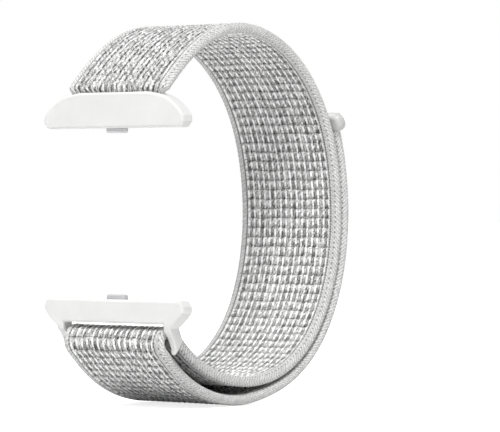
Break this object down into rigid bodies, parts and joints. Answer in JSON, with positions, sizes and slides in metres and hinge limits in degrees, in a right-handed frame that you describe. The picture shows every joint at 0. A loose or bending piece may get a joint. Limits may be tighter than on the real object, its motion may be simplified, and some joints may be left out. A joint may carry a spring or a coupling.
{
  "type": "watch strap",
  "caption": "Woven hook-and-loop watch strap closed into a loop, with slide-in lugs, a fold round the lower lug's bar and a moulded bar on the flap's end.",
  "frame": {"origin": "centre of the upper lug's flat front face", "axes": "+X across the strap, +Y from the lugs to the back of the loop, +Z from the lower lug to the upper lug"},
  "size_m": [0.034, 0.0547, 0.0703],
  "materials": {
    "woven_fabric": "double-layer nylon weave with raised loops in columns and smooth woven selvedges",
    "hook_tape": "short moulded nylon hooks on a woven ground",
    "lug": "fine satin",
    "end_bar": "moulded, soft sheen",
    "steel": "fine ground"
  },
  "bodies": {
    "upper_lug": {"upper_lug_body": "lug", "upper_latch_cover": "lug", "upper_latch_spring": "steel", "strap_root": "woven_fabric"},
    "upper_latch": {"upper_latch_button": "steel"},
    "strap_front": {"strap_front": "woven_fabric"},
    "strap_top": {"strap_top": "woven_fabric"},
    "strap_loop": {"strap_shoulder": "woven_fabric", "strap_back": "woven_fabric", "strap_underside": "woven_fabric", "lower_fold": "woven_fabric", "flap_underside": "woven_fabric"},
    "flap_heel": {"flap_heel": "woven_fabric"},
    "flap_back": {"flap_back": "woven_fabric"},
    "flap_tip": {"flap_tip": "woven_fabric", "hook_patch": "hook_tape", "end_bar": "end_bar"},
    "lower_lug": {"lower_lug_body": "lug", "strap_bar": "steel", "lower_latch_cover": "lug", "lower_latch_spring": "steel"},
    "lower_latch": {"lower_latch_button": "steel"}
  },
  "joints": [
    {"name": "root_bend", "type": "hinge", "parent": "upper_lug", "child": "strap_front", "pos_m": [0, 0.00235, 0.0056], "axis": [1, 0, 0], "range_deg": [-30, 30]},
    {"name": "front_flex", "type": "hinge", "parent": "strap_front", "child": "strap_top", "pos_m": [0, 0.02257, 0.01647], "axis": [1, 0, 0], "range_deg": [-12, 12], "stiffness_Nm_per_rad": 0.08},
    {"name": "shoulder_flex", "type": "hinge", "parent": "strap_top", "child": "strap_loop", "pos_m": [0, 0.04175, 0.00839], "axis": [1, 0, 0], "range_deg": [-12, 12], "stiffness_Nm_per_rad": 0.08},
    {"name": "heel_peel", "type": "hinge", "parent": "strap_loop", "child": "flap_heel", "pos_m": [0, 0.02888, -0.05215], "axis": [-1, 0, 0], "range_deg": [0, 40]},
    {"name": "back_peel", "type": "hinge", "parent": "flap_heel", "child": "flap_back", "pos_m": [0, 0.04345, -0.04534], "axis": [-1, 0, 0], "range_deg": [0, 50]},
    {"name": "tip_peel", "type": "hinge", "parent": "flap_back", "child": "flap_tip", "pos_m": [0, 0.05246, -0.03066], "axis": [-1, 0, 0], "range_deg": [0, 60]},
    {"name": "lower_lug_turn", "type": "hinge", "parent": "strap_loop", "child": "lower_lug", "pos_m": [0, 0.0026, -0.04085], "axis": [1, 0, 0], "range_deg": [-25, 25]},
    {"name": "upper_latch_press", "type": "slide", "parent": "upper_lug", "child": "upper_latch", "axis": [0, 0, 1], "range_m": [0, 0.0008], "stiffness_N_per_m": 150, "deforming": ["upper_latch_spring"]},
    {"name": "lower_latch_press", "type": "slide", "parent": "lower_lug", "child": "lower_latch", "axis": [0, 0, -1], "range_m": [0, 0.0008], "stiffness_N_per_m": 150, "deforming": ["lower_latch_spring"]}
  ]
}
